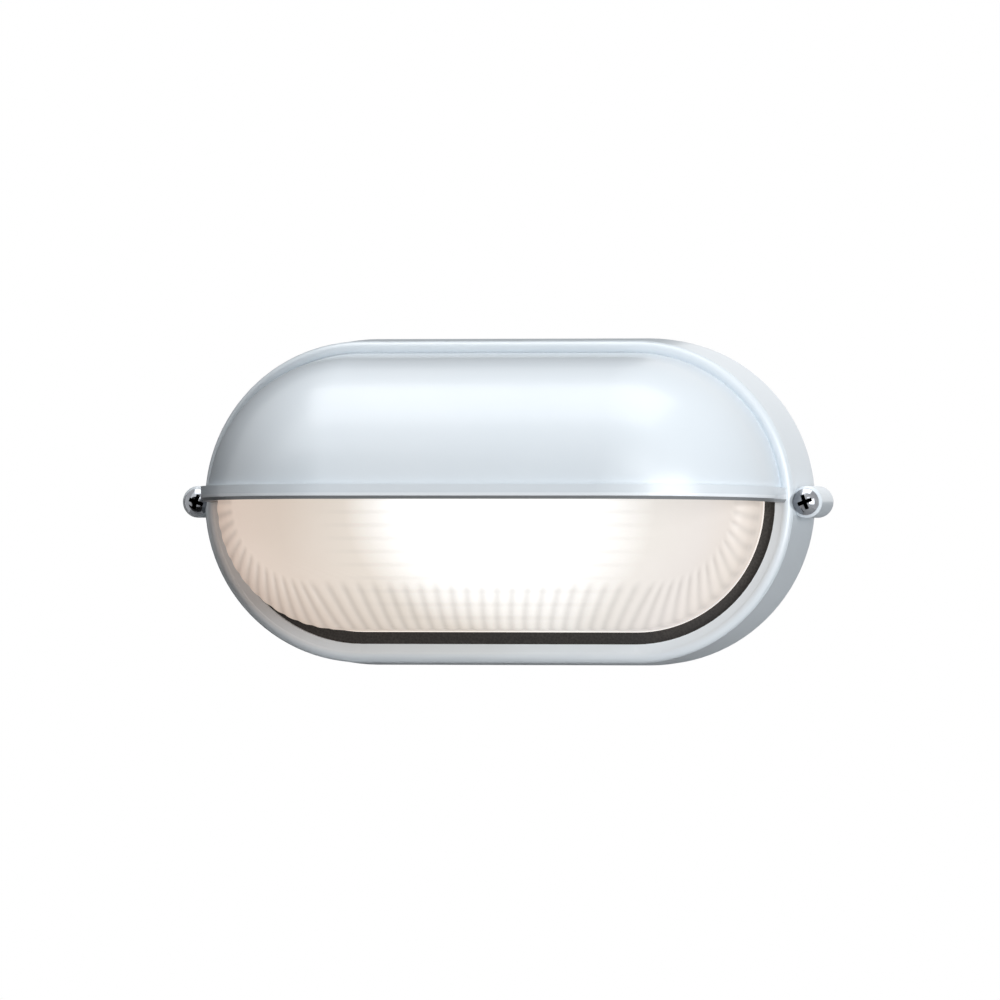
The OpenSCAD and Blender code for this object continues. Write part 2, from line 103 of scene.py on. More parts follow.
class NodeSheet:
    """Places and links nodes in one node tree."""

    def __init__(self, tree: bpy.types.NodeTree) -> None:
        """Keeps the node tree of a material, a world or a group."""
        self.tree = tree

    def add(self, kind: str, **settings: object) -> bpy.types.Node:
        """Adds a node.

        Args:
            kind: Blender's name of the node type.
            settings: properties to set on the node.

        Returns:
            The new node.
        """
        node = self.tree.nodes.new(kind)
        for key, value in settings.items():
            setattr(node, key, value)
        return node

    def join(self, source: bpy.types.NodeSocket, target: bpy.types.NodeSocket) -> None:
        """Links an output to an input."""
        self.tree.links.new(source, target)

    def math(self, operation: str, first: bpy.types.NodeSocket,
             second: bpy.types.NodeSocket | float | None = None) -> bpy.types.NodeSocket:
        """Adds a Math node.

        Args:
            operation: what the node does, such as MULTIPLY.
            first: output that feeds the first input.
            second: output that feeds the second input, or a plain number, where the operation takes one.

        Returns:
            The node's output.
        """
        node = self.add("ShaderNodeMath", operation=operation)
        self.join(first, node.inputs[0])
        if isinstance(second, (int, float)):
            node.inputs[1].default_value = second
        elif second is not None:
            self.join(second, node.inputs[1])
        return node.outputs[0]

    def spread(self, value: bpy.types.NodeSocket, low: float, high: float) -> bpy.types.NodeSocket:
        """Maps a value from 0..1 to another range.

        Args:
            value: output to map.
            low: result at 0.
            high: result at 1.

        Returns:
            The mapped output.
        """
        node = self.add("ShaderNodeMapRange")
        node.inputs["To Min"].default_value = low
        node.inputs["To Max"].default_value = high
        self.join(value, node.inputs["Value"])
        return node.outputs[0]

    def ramp_between(self, value: bpy.types.NodeSocket, start: float, end: float) -> bpy.types.NodeSocket:
        """Eases from 0 to 1 between two values.

        Args:
            value: output to ease.
            start: value at which the result is 0.
            end: value at which the result is 1.

        Returns:
            The eased output.
        """
        node = self.add("ShaderNodeMapRange", interpolation_type="SMOOTHSTEP")
        node.inputs["From Min"].default_value = start
        node.inputs["From Max"].default_value = end
        self.join(value, node.inputs["Value"])
        return node.outputs[0]

    def blend(self, mode: str, factor: bpy.types.NodeSocket | float, first: bpy.types.NodeSocket,
              second: bpy.types.NodeSocket) -> bpy.types.NodeSocket:
        """Blends two colours.

        Args:
            mode: how they blend, such as MIX or MULTIPLY.
            factor: share of the blend, as an output or a plain number.
            first: output that feeds the first colour.
            second: output that feeds the second colour.

        Returns:
            The blended colour.
        """
        node = self.add("ShaderNodeMix", data_type="RGBA", blend_type=mode)
        share, colour_a, colour_b = node.inputs[0], node.inputs[6], node.inputs[7]
        if isinstance(factor, (int, float)):
            share.default_value = factor
        else:
            self.join(factor, share)
        self.join(first, colour_a)
        self.join(second, colour_b)
        return node.outputs[2]

    def bump(self, height: bpy.types.NodeSocket, strength: float, depth: float,
             shader: bpy.types.Node) -> None:
        """Feeds a height into a shader's normal.

        Args:
            height: output that holds the height.
            strength: share of the effect.
            depth: real depth of the full height, in metres.
            shader: the shader to feed.
        """
        node = self.add("ShaderNodeBump")
        node.inputs["Strength"].default_value = strength
        node.inputs["Distance"].default_value = depth
        self.join(height, node.inputs["Height"])
        self.join(node.outputs["Normal"], shader.inputs["Normal"])


class SharedEffects:
    """Shader node groups that several finishes use."""

    GRAIN = "fine_grain"
    GRAIN_DETAIL = 2.0
    GRAIN_ROUGHNESS = 0.55
    DRIFT = "tone_drift"
    DRIFT_DETAIL = 4.0
    DRIFT_SPAN = (0.35, 0.65)

    @classmethod
    def _group(cls, name: str, inputs: dict[str, str],
               outputs: dict[str, str]) -> tuple[bpy.types.NodeTree, bool]:
        """Finds a group or makes it with its sockets.

        Args:
            name: the group's name.
            inputs: socket types by input name.
            outputs: socket types by output name.

        Returns:
            The group, and whether it is new.
        """
        if name in bpy.data.node_groups:
            return bpy.data.node_groups[name], False
        tree = bpy.data.node_groups.new(name, "ShaderNodeTree")
        for label, kind in inputs.items():
            tree.interface.new_socket(label, in_out="INPUT", socket_type=kind)
        for label, kind in outputs.items():
            tree.interface.new_socket(label, in_out="OUTPUT", socket_type=kind)
        return tree, True

    @classmethod
    def grain(cls) -> bpy.types.NodeTree:
        """A fine, even noise over the surface, for skins and cast textures.

        Returns:
            The group, with Scale in and Height out.
        """
        tree, is_new = cls._group(cls.GRAIN, {"Scale": "NodeSocketFloat"}, {"Height": "NodeSocketFloat"})
        if is_new:
            sheet = NodeSheet(tree)
            given = sheet.add("NodeGroupInput")
            place = sheet.add("ShaderNodeTexCoord")
            noise = sheet.add("ShaderNodeTexNoise")
            noise.inputs["Detail"].default_value = cls.GRAIN_DETAIL
            noise.inputs["Roughness"].default_value = cls.GRAIN_ROUGHNESS
            result = sheet.add("NodeGroupOutput")
            sheet.join(place.outputs["Object"], noise.inputs["Vector"])
            sheet.join(given.outputs["Scale"], noise.inputs["Scale"])
            sheet.join(noise.outputs["Fac"], result.inputs["Height"])
        return tree

    @classmethod
    def drift(cls) -> bpy.types.NodeTree:
        """A slow change between two tones over the surface.

        Returns:
            The group, with Tone, Other Tone and Scale in, and Colour and Mask out.
        """
        tree, is_new = cls._group(
            cls.DRIFT,
            {"Tone": "NodeSocketColor", "Other Tone": "NodeSocketColor", "Scale": "NodeSocketFloat"},
            {"Colour": "NodeSocketColor", "Mask": "NodeSocketFloat"},
        )
        if is_new:
            sheet = NodeSheet(tree)
            given = sheet.add("NodeGroupInput")
            place = sheet.add("ShaderNodeTexCoord")
            noise = sheet.add("ShaderNodeTexNoise")
            noise.inputs["Detail"].default_value = cls.DRIFT_DETAIL
            mask = sheet.add("ShaderNodeMapRange")
            mask.inputs["From Min"].default_value, mask.inputs["From Max"].default_value = cls.DRIFT_SPAN
            result = sheet.add("NodeGroupOutput")
            sheet.join(place.outputs["Object"], noise.inputs["Vector"])
            sheet.join(given.outputs["Scale"], noise.inputs["Scale"])
            sheet.join(noise.outputs["Fac"], mask.inputs["Value"])
            tones = sheet.blend("MIX", mask.outputs[0], given.outputs["Tone"], given.outputs["Other Tone"])
            sheet.join(tones, result.inputs["Colour"])
            sheet.join(mask.outputs[0], result.inputs["Mask"])
        return tree


@dataclass(frozen=True)
class Finish:
    """A solid finish: two close tones, a grain in the surface and its gloss.

    Attributes:
        name: name of the material.
        tone: main colour.
        other_tone: colour that it drifts towards.
        drift_scale: how many drifts there are to a metre.
        grain_scale: how many grains there are to a metre.
        grain_depth: depth of the grain, in metres.
        grain_share: strength of the grain.
        gloss: roughness from the smoothest to the dullest place.
        metal: metallic share.
        coat: weight of the clear coat.
        coat_dull: roughness of the clear coat.
    """

    name: str
    tone: Colour
    other_tone: Colour
    drift_scale: float = 30.0
    grain_scale: float = 900.0
    grain_depth: float = 0.1 * MM
    grain_share: float = 0.2
    gloss: tuple[float, float] = (0.3, 0.4)
    metal: float = 0.0
    coat: float = 0.0
    coat_dull: float = 0.1

    def start(self) -> tuple[bpy.types.Material, NodeSheet, bpy.types.Node]:
        """Starts the material.

        Returns:
            The material, its sheet and its Principled shader.
        """
        material = bpy.data.materials.new(self.name)
        material.use_nodes = True
        shader = material.node_tree.nodes["Principled BSDF"]
        return material, NodeSheet(material.node_tree), shader

    def effects(self, sheet: NodeSheet) -> tuple[bpy.types.Node, bpy.types.Node]:
        """Places the shared effects with this finish's values.

        Args:
            sheet: the material's sheet.

        Returns:
            The drift and the grain.
        """
        drift = sheet.add("ShaderNodeGroup", node_tree=SharedEffects.drift())
        drift.inputs["Tone"].default_value = (*self.tone, 1.0)
        drift.inputs["Other Tone"].default_value = (*self.other_tone, 1.0)
        drift.inputs["Scale"].default_value = self.drift_scale
        grain = sheet.add("ShaderNodeGroup", node_tree=SharedEffects.grain())
        grain.inputs["Scale"].default_value = self.grain_scale
        return drift, grain

    def material(self) -> bpy.types.Material:
        """Builds the material.

        Returns:
            The finished material.
        """
        material, sheet, shader = self.start()
        drift, grain = self.effects(sheet)
        sheet.join(drift.outputs["Colour"], shader.inputs["Base Color"])
        sheet.join(sheet.spread(drift.outputs["Mask"], *self.gloss), shader.inputs["Roughness"])
        sheet.bump(grain.outputs["Height"], self.grain_share, self.grain_depth, shader)
        shader.inputs["Metallic"].default_value = self.metal
        shader.inputs["Coat Weight"].default_value = self.coat
        shader.inputs["Coat Roughness"].default_value = self.coat_dull
        return material


@dataclass(frozen=True)
class PaintedShadeLipFinish(Finish):
    """Gloss paint on the hood's lip, with painted shade that darkens and dulls its lower edge, where the
    real lip lies in shadow.

    Attributes:
        under_shade: share of the colour that the painted shade takes away on the lower edge.
        under_shade_attribute: name of the mesh attribute that is 1 where the shade is painted.
    """

    under_shade: float = 0.75
    under_shade_attribute: str = UNDER_SHADE_LAYER

    def material(self) -> bpy.types.Material:
        """Builds the paint.

        Returns:
            The finished material.
        """
        material, sheet, shader = self.start()
        drift, grain = self.effects(sheet)
        # Painted shade: colour and coat fall off where the attribute marks the lip's lower edge.
        under = sheet.add("ShaderNodeAttribute", attribute_name=self.under_shade_attribute)
        kept = sheet.spread(under.outputs["Fac"], 1.0, 1.0 - self.under_shade)
        sheet.join(sheet.blend("MULTIPLY", 1.0, drift.outputs["Colour"], kept), shader.inputs["Base Color"])
        sheet.join(sheet.spread(drift.outputs["Mask"], *self.gloss), shader.inputs["Roughness"])
        sheet.join(sheet.math("MULTIPLY", kept, self.coat), shader.inputs["Coat Weight"])
        sheet.bump(grain.outputs["Height"], self.grain_share, self.grain_depth, shader)
        shader.inputs["Coat Roughness"].default_value = self.coat_dull
        return material


@dataclass(frozen=True)
class FoamFinish(Finish):
    """Closed-cell rubber with small open pores.

    Attributes:
        pore_scale: how many pores there are to a metre.
        pore_depth: depth of a pore, in metres.
        pore_shade: how much darker a pore is.
    """

    pore_scale: float = 1400.0
    pore_depth: float = 0.3 * MM
    pore_shade: float = 0.6

    def material(self) -> bpy.types.Material:
        """Builds the foam.

        Returns:
            The finished material.
        """
        material, sheet, shader = self.start()
        drift, grain = self.effects(sheet)
        place = sheet.add("ShaderNodeTexCoord")
        cells = sheet.add("ShaderNodeTexVoronoi")
        cells.inputs["Scale"].default_value = self.pore_scale
        sheet.join(place.outputs["Object"], cells.inputs["Vector"])
        pores = sheet.math("MULTIPLY", cells.outputs["Distance"], grain.outputs["Height"])
        shade = sheet.blend("MULTIPLY", self.pore_shade, drift.outputs["Colour"], cells.outputs["Distance"])
        sheet.join(shade, shader.inputs["Base Color"])
        sheet.join(sheet.spread(drift.outputs["Mask"], *self.gloss), shader.inputs["Roughness"])
        sheet.bump(pores, self.grain_share, self.pore_depth, shader)
        return material


@dataclass(frozen=True)
class ScrewFinish(Finish):
    """Bright plate with painted shade in the cross recesses.

    Attributes:
        axis_x: distance of the two screws from the middle.
        recess_r: radius round a recess.
        floor: y at which the painted shade in a recess starts and is full, in metres.
        recess_shade_dull: roughness where the recess shade is painted.
    """

    axis_x: float = 101.7 * MM
    recess_r: float = 2.7 * MM
    floor: tuple[float, float] = (-31.9 * MM, -31.3 * MM)
    recess_shade_dull: float = 0.7

    def material(self) -> bpy.types.Material:
        """Builds the plate.

        Returns:
            The finished material.
        """
        material, sheet, shader = self.start()
        drift, grain = self.effects(sheet)
        place = sheet.add("ShaderNodeTexCoord")
        where = sheet.add("ShaderNodeSeparateXYZ")
        sheet.join(place.outputs["Object"], where.inputs["Vector"])
        across = sheet.math("SUBTRACT", sheet.math("ABSOLUTE", where.outputs["X"]), self.axis_x)
        square_x = sheet.math("POWER", across, 2.0)
        square_z = sheet.math("POWER", where.outputs["Z"], 2.0)
        around = sheet.math("SQRT", sheet.math("ADD", square_x, square_z))
        inside = sheet.math("LESS_THAN", around, self.recess_r)
        # Painted shade: the cross recesses turn near black.
        deep = sheet.math("MULTIPLY", inside, sheet.ramp_between(where.outputs["Y"], *self.floor))
        shade = sheet.blend("MULTIPLY", 1.0, drift.outputs["Colour"], sheet.spread(deep, 1.0, 0.0))
        sheet.join(shade, shader.inputs["Base Color"])
        sheet.join(sheet.spread(deep, self.gloss[0], self.recess_shade_dull), shader.inputs["Roughness"])
        sheet.bump(grain.outputs["Height"], self.grain_share, self.grain_depth, shader)
        shader.inputs["Metallic"].default_value = self.metal
        return material


@dataclass(frozen=True)
class LitGlassFinish(Finish):
    """Frosted glass with the lamp's glow painted on it as emission, with painted shade in its grooves and
    faint lines and a painted highlight on its foot.

    Attributes:
        lamp_at: middle of the glow.
        glow_half: half width, depth and height of the bright middle, in metres.
        holder_glow: colours of the glow from the middle towards the lampholder, each with its
            distance in half widths.
        tip_glow: the same towards the lamp's free end.
        glow_swap: x at which one side of the glow passes into the other, from and to, in metres.
        groove_shade: share of the glow that is lost in a groove.
        line_pitch: distance between the faint lines across the front, in metres.
        line_shade: share of the glow that is lost in such a line.
        line_crest: part of the wave, from and to, that darkens into a line.
        line_reach: distances in half widths at which the lines start to show and show fully.
        collar: y at which the painted highlight on the bowl's foot starts and ends, in metres.
        collar_highlight: share of white that the painted highlight adds to the foot.
        rib_attribute: name of the mesh attribute that is 1 in a groove.
    """

    lamp_at: Triple = (0.0, 0.0, 0.0)
    glow_half: Triple = (0.040, 1.0, 0.036)
    holder_glow: Glow = ()
    tip_glow: Glow = ()
    glow_swap: tuple[float, float] = (-0.01, 0.03)
    groove_shade: float = 0.22
    line_pitch: float = 4.3 * MM
    line_shade: float = 0.08
    line_crest: tuple[float, float] = (0.2, 1.0)
    line_reach: tuple[float, float] = (1.5, 1.1)
    collar: tuple[float, float] = (-36.0 * MM, -33.0 * MM)
    collar_highlight: float = 0.35
    rib_attribute: str = RIB_LAYER

    def material(self) -> bpy.types.Material:
        """Builds the lit glass.

        Returns:
            The finished material.
        """
        material, sheet, shader = self.start()
        drift, grain = self.effects(sheet)
        place = sheet.add("ShaderNodeTexCoord")
        centred = sheet.add("ShaderNodeMapping", vector_type="TEXTURE")
        centred.inputs["Location"].default_value = self.lamp_at
        centred.inputs["Scale"].default_value = self.glow_half
        sheet.join(place.outputs["Object"], centred.inputs["Vector"])
        away = sheet.add("ShaderNodeVectorMath", operation="LENGTH")
        sheet.join(centred.outputs["Vector"], away.inputs[0])
        where = sheet.add("ShaderNodeSeparateXYZ")
        sheet.join(place.outputs["Object"], where.inputs["Vector"])
        side = sheet.ramp_between(where.outputs["X"], *self.glow_swap)
        glow = sheet.blend("MIX", side, self._ramp(sheet, away.outputs["Value"], self.holder_glow),
                           self._ramp(sheet, away.outputs["Value"], self.tip_glow))
        # Painted shade in the grooves between the ribs.
        rib = sheet.add("ShaderNodeAttribute", attribute_name=self.rib_attribute)
        shade = sheet.spread(rib.outputs["Fac"], 1.0, 1.0 - self.groove_shade)
        # Painted shade along the faint lines across the front.
        wave = sheet.math("SINE", sheet.math("MULTIPLY", where.outputs["Z"], math.tau / self.line_pitch))
        near = sheet.ramp_between(away.outputs["Value"], *self.line_reach)
        line = sheet.math("MULTIPLY", sheet.ramp_between(wave, *self.line_crest), near)
        lined = sheet.math("MULTIPLY", shade, sheet.spread(line, 1.0, 1.0 - self.line_shade))
        # Painted highlight: white added along the bowl's foot.
        foot = sheet.ramp_between(where.outputs["Y"], *self.collar)
        lit = sheet.blend("MULTIPLY", 1.0, glow, lined)
        lit = sheet.blend("ADD", sheet.math("MULTIPLY", foot, self.collar_highlight), lit, foot)
        sheet.join(drift.outputs["Colour"], shader.inputs["Base Color"])
        sheet.join(sheet.spread(drift.outputs["Mask"], *self.gloss), shader.inputs["Roughness"])
        # The lamp's glow is painted on the glass as emission colour.
        sheet.join(lit, shader.inputs["Emission Color"])
        shader.inputs["Emission Strength"].default_value = 1.0
        sheet.bump(grain.outputs["Height"], self.grain_share, self.grain_depth, shader)
        return material

    @staticmethod
    def _ramp(sheet: NodeSheet, away: bpy.types.NodeSocket, glow: Glow) -> bpy.types.NodeSocket:
        """Colours one side of the glow by the distance from its middle.

        Args:
            sheet: the material's sheet.
            away: the distance, in half widths.
            glow: colours with their distances.

        Returns:
            The colour.
        """
        furthest = glow[-1][0]
        ramp = sheet.add("ShaderNodeValToRGB")
        stops = ramp.color_ramp.elements
        while len(stops) < len(glow):
            stops.new(1.0)
        for stop, (distance, colour) in zip(stops, glow):
            stop.position = distance / furthest
            stop.color = (*colour, 1.0)
        sheet.join(sheet.math("DIVIDE", away, furthest), ramp.inputs["Fac"])
        return ramp.outputs["Color"]


class Finishes:
    """All finishes of the light, made once and shared by its pieces."""

    def __init__(self) -> None:
        """Makes every material."""
        self.by_slot: dict[Slot, bpy.types.Material] = {
            slot: finish.material()
            for slot, finish in {
                Slot.WHITE_PAINT: Finish(
                    "gloss_white_paint", (0.76, 0.81, 0.85), (0.73, 0.785, 0.83), drift_scale=14.0,
                    grain_scale=420.0, grain_depth=0.05 * MM, grain_share=0.12, gloss=(0.32, 0.38), coat=0.4,
                    coat_dull=0.2),
                Slot.FROSTED_GLASS: LitGlassFinish(
                    "lit_frosted_glass", (0.42, 0.40, 0.375), (0.40, 0.38, 0.35), drift_scale=40.0,
                    grain_scale=2600.0, grain_depth=0.04 * MM, grain_share=0.25, gloss=(0.42, 0.55),
                    lamp_at=(2 * MM, -31 * MM, 1 * MM),
                    holder_glow=(
                        (0.0, (0.95, 0.95, 0.95)), (0.75, (0.90, 0.90, 0.90)), (1.2, (0.53, 0.47, 0.41)),
                        (1.75, (0.47, 0.38, 0.315)), (2.4, (0.52, 0.395, 0.325))),
                    tip_glow=(
                        (0.0, (0.95, 0.95, 0.95)), (0.85, (0.90, 0.90, 0.90)), (1.4, (0.56, 0.53, 0.50)),
                        (1.8, (0.51, 0.47, 0.45)), (2.4, (0.42, 0.34, 0.28)))),
                Slot.DARK_FOAM: FoamFinish(
                    "dark_foam_rubber", (0.035, 0.032, 0.030), (0.055, 0.050, 0.046), drift_scale=60.0,
                    grain_share=0.5, gloss=(0.75, 0.95)),
                # The plate's tone is darker than bright plate: painted shade standing in for the dark
                # surroundings that the screw heads mirror.
                Slot.BRIGHT_SCREW: ScrewFinish(
                    "bright_screw_plate", (0.36, 0.37, 0.39), (0.26, 0.27, 0.29), drift_scale=300.0,
                    grain_scale=2500.0, grain_depth=0.03 * MM, grain_share=0.15, gloss=(0.10, 0.22),
                    metal=1.0),
                Slot.PLATED_SHEET: Finish(
                    "zinc_plated_sheet", (0.60, 0.61, 0.63), (0.50, 0.52, 0.55), drift_scale=120.0,
                    grain_scale=1500.0, grain_depth=0.04 * MM, gloss=(0.25, 0.42), metal=1.0),
                Slot.PORCELAIN: Finish(
                    "glazed_porcelain", (0.86, 0.84, 0.78), (0.80, 0.78, 0.71), grain_scale=500.0,
                    grain_depth=0.05 * MM, gloss=(0.12, 0.22), coat=0.5, coat_dull=0.06),
                Slot.BRASS: Finish(
                    "plain_brass", (0.76, 0.56, 0.24), (0.62, 0.43, 0.17), drift_scale=150.0,
                    grain_scale=2200.0, grain_depth=0.03 * MM, gloss=(0.2, 0.38), metal=1.0),
                Slot.LAMP_WHITE: Finish(
                    "opal_lamp_glass", (0.90, 0.88, 0.82), (0.87, 0.84, 0.78), grain_scale=1200.0,
                    grain_depth=0.02 * MM, gloss=(0.15, 0.25), coat=0.4),
                Slot.NYLON: Finish(
                    "natural_nylon", (0.84, 0.84, 0.80), (0.78, 0.78, 0.73), grain_scale=1400.0,
                    gloss=(0.45, 0.6)),
                Slot.BROWN_SLEEVE: Finish(
                    "brown_wire_sleeve", (0.20, 0.09, 0.04), (0.15, 0.065, 0.03), grain_scale=1400.0,
                    gloss=(0.4, 0.55)),
                Slot.BLUE_SLEEVE: Finish(
                    "blue_wire_sleeve", (0.05, 0.15, 0.40), (0.04, 0.12, 0.32), grain_scale=1400.0,
                    gloss=(0.4, 0.55)),
            }.items()
        }
        # The lip's paint is lighter than the white paint, a painted highlight for the bright lip band, and
        # its lower edge carries painted shade.
        self.lip = PaintedShadeLipFinish(
            "lip_paint_painted_highlight_and_shade", (0.89, 0.93, 0.96), (0.86, 0.90, 0.94), drift_scale=14.0, grain_scale=420.0,
            grain_depth=0.05 * MM, grain_share=0.12, gloss=(0.28, 0.34), coat=0.5, coat_dull=0.12).material()

    def dress(self, piece: bpy.types.Object, slot: Slot) -> None:
        """Gives a piece the finish of a slot."""
        piece.data.materials.clear()
        piece.data.materials.append(self.by_slot[slot])


@dataclass
class CadPieces:
    """CAD nodes that stay as they are and take a finish.

    Attributes:
        nodes: node names by slot.
        edge_round: width of the rounding on cast edges.
        round_steps: faces across a rounding.
        sharp: angle from which an edge is rounded, in degrees.
        weld_gap: distance within which facets are joined first.
        face_weight: how far large faces rule the shading of the rest.
        rounded: nodes whose edges are rounded.
    """

    nodes: dict[Slot, tuple[str, ...]]
    edge_round: float = 0.45 * MM
    round_steps: int = 2
    sharp: float = 35.0
    weld_gap: float = 0.002 * MM
    face_weight: int = 100
    rounded: tuple[str, ...] = ("front_frame", "back_housing")

    def round_edges(self, piece: bpy.types.Object) -> None:
        """Rounds the cast edges of a piece a little, as paint and casting leave them.

        Args:
            piece: the piece to round.
        """
        weld = piece.modifiers.new("joined_facets", "WELD")
        weld.merge_threshold = self.weld_gap
        bevel = piece.modifiers.new("soft_edges", "BEVEL")
        bevel.width = self.edge_round
        bevel.segments = self.round_steps
        bevel.limit_method = "ANGLE"
        bevel.angle_limit = math.radians(self.sharp)
        even = piece.modifiers.new("even_shading", "WEIGHTED_NORMAL")
        even.mode = "FACE_AREA"
        even.weight = self.face_weight
        even.keep_sharp = True

    def dress(self, frame: dict, finishes: Finishes) -> None:
        """Dresses the nodes.

        Args:
            finishes: the finishes to use.
        """
        for slot, names in self.nodes.items():
            for name in names:
                finishes.dress(frame["nodes"][name], slot)
                if name in self.rounded:
                    self.round_edges(frame["nodes"][name])
                LOG.info("dressed %s with %s", name, slot.value)


@dataclass(frozen=True)
class GlassLayer:
    """One ring of the bowl.

    Attributes:
        run: half the distance between the centres of its round ends.
        radius: radius of its round ends.
        out: distance from the wall.
        slope: angle of the surface's normal above the ring's plane, in radians.
        groove: share of the full groove depth on this ring.
    """

    run: float
    radius: float
    out: float
    slope: float = 0.0
    groove: float = 0.0


@dataclass(frozen=True)
class RibStation:
    """One place round a ring of the bowl.

    Attributes:
        share: its share of the straight run, from -1 to 1.
        turn: its turn round the end, in radians.
        phase: its place among the ribs, whole at a groove's middle.
    """

    share: float
    turn: float
    phase: float


@dataclass
class GlassBowl:
    """The ribbed bowl: a flange, a steep wall, a rounded shoulder and a flat front.

    Attributes:
        flange_t: thickness of the flange.
        flange_show: how far the flange stands out from the wall.
        wall_t: thickness of the glass.
        wall_up: height of the wall above the flange's front.
        collar: height of the plain part of the wall above the flange's front.
        lean: how far the wall leans in along the straight sides.
        end_flare: how far the wall opens out at the ends, past that lean.
        shoulder_h: height of the shoulder.
        side_shoulder: width of the shoulder along the straight sides.
        end_shoulder: width of the shoulder at the ends.
        side_ribs: ribs along each straight side.
        end_ribs: ribs round each end.
        rib_depth: depth of the grooves between ribs.
        rib_sharpness: how narrow the grooves are against the ribs.
        rib_rise: how soon the grooves reach their full depth up the wall.
        steps: points across each rib.
        wall_steps: rings up the ribbed wall.
        shoulder_steps: rings over the shoulder.
        rib_end: angle of the shoulder at which the ribs end, in degrees.
        rib_fade: angle over which they fade before that, in degrees.
        steepest: largest slope that the grooves follow, in degrees.
    """

    flange_t: float = 4.0 * MM
    flange_show: float = 5.2 * MM
    wall_t: float = 3.2 * MM
    wall_up: float = 23.0 * MM
    collar: float = 9.0 * MM
    lean: float = 0.7 * MM
    end_flare: float = 2.2 * MM
    shoulder_h: float = 7.8 * MM
    side_shoulder: float = 16.5 * MM
    end_shoulder: float = 6.9 * MM
    side_ribs: int = 22
    end_ribs: int = 26
    rib_depth: float = 0.25 * MM
    rib_sharpness: float = 1.5
    rib_rise: float = 2.0
    steps: int = 8
    wall_steps: int = 6
    shoulder_steps: int = 16
    rib_end: float = 88.0
    rib_fade: float = 8.0
    steepest: float = 89.0

    def __post_init__(self) -> None:
        """Takes the flange's outline and place from the CAD node."""
        _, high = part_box("glass_diffuser")
        self.flange_r = high.z
        self.run = high.x - high.z
        self.flange_back = -high.y
        self.flange_front = self.flange_back + self.flange_t
        self.glass_r = self.flange_r - self.flange_show
        self.wall_top = self.flange_front + self.wall_up
        self.wall_top_r = self.glass_r - self.lean
        self.panel_r = self.wall_top_r - self.side_shoulder
        self.panel_end = self.run + self.end_flare + self.wall_top_r - self.end_shoulder

    def shoulder(self, angle: float, inset: float) -> GlassLayer:
        """A ring of the shoulder.

        Args:
            angle: 0 at the wall and 90 at the front, in degrees.
            inset: 0 on the outside, the glass thickness on the inside.

        Returns:
            The ring.
        """
        turn = math.radians(angle)
        radius = self.panel_r + (self.side_shoulder - inset) * math.cos(turn)
        end = self.panel_end - inset / 2 + (self.end_shoulder - inset / 2) * math.cos(turn)
        fade = min(1.0, max(0.0, (self.rib_end - angle) / self.rib_fade))
        slope = math.atan2(self.side_shoulder * math.sin(turn), self.shoulder_h * math.cos(turn))
        return GlassLayer(end - radius, radius, self.wall_top + (self.shoulder_h - inset) * math.sin(turn),
                          slope, 0.0 if inset else fade)

    def layers(self) -> list[GlassLayer]:
        """All rings from the middle of the inside, round the flange, to the front.

        Returns:
            The rings in order.
        """
        inside = self.wall_t
        angles = [90.0 * i / self.shoulder_steps for i in range(self.shoulder_steps + 1)]
        rings = [self.shoulder(a, inside) for a in reversed(angles[::2])]
        rings.append(GlassLayer(self.run, self.glass_r - inside, self.flange_back))
        rings.append(GlassLayer(self.run, self.flange_r, self.flange_back))
        rings.append(GlassLayer(self.run, self.flange_r, self.flange_front))
        rings.append(GlassLayer(self.run, self.glass_r, self.flange_front))
        for i in range(self.wall_steps):
            share = i / self.wall_steps
            out = self.flange_front + self.collar + (self.wall_up - self.collar) * share
            height = (out - self.flange_front) / self.wall_up
            run = self.run + self.end_flare * height
            radius = self.glass_r - self.lean * height
            rings.append(GlassLayer(run, radius, out, groove=min(1.0, self.rib_rise * share)))
        rings.extend(self.shoulder(a, 0.0) for a in angles)
        return rings

    def stations(self) -> list[RibStation]:
        """Places round each ring.

        Returns:
            The places in order.
        """
        side, end = self.side_ribs * self.steps, self.end_ribs * self.steps
        places = []
        for flip in (1.0, -1.0):
            base = math.pi / 2 * flip
            for i in range(side):
                places.append(RibStation(flip * (1.0 - 2.0 * i / side), base, i / self.steps))
            for i in range(end):
                places.append(RibStation(-flip, base + math.pi * i / end, i / self.steps))
        return places

    def place(self, layer: GlassLayer, station: RibStation) -> tuple[Vector, float]:
        """Where a station lies on a ring, with its groove cut in.

        Args:
            layer: the ring.
            station: the station.

        Returns:
            The point, and how deep in a groove it lies from 0 to 1.
        """
        turn = station.turn
        groove = layer.groove * (0.5 + 0.5 * math.cos(math.tau * station.phase)) ** self.rib_sharpness
        blend = self.side_shoulder - (self.side_shoulder - self.end_shoulder) * abs(math.cos(turn))
        steepness = math.tan(min(layer.slope, math.radians(self.steepest)))
        slope = math.atan2(steepness * blend, self.side_shoulder)
        depth = groove * self.rib_depth
        radius = layer.radius - depth * math.cos(slope)
        x = station.share * layer.run + radius * math.cos(turn)
        return Vector((x, -(layer.out - depth * math.sin(slope)), radius * math.sin(turn))), groove

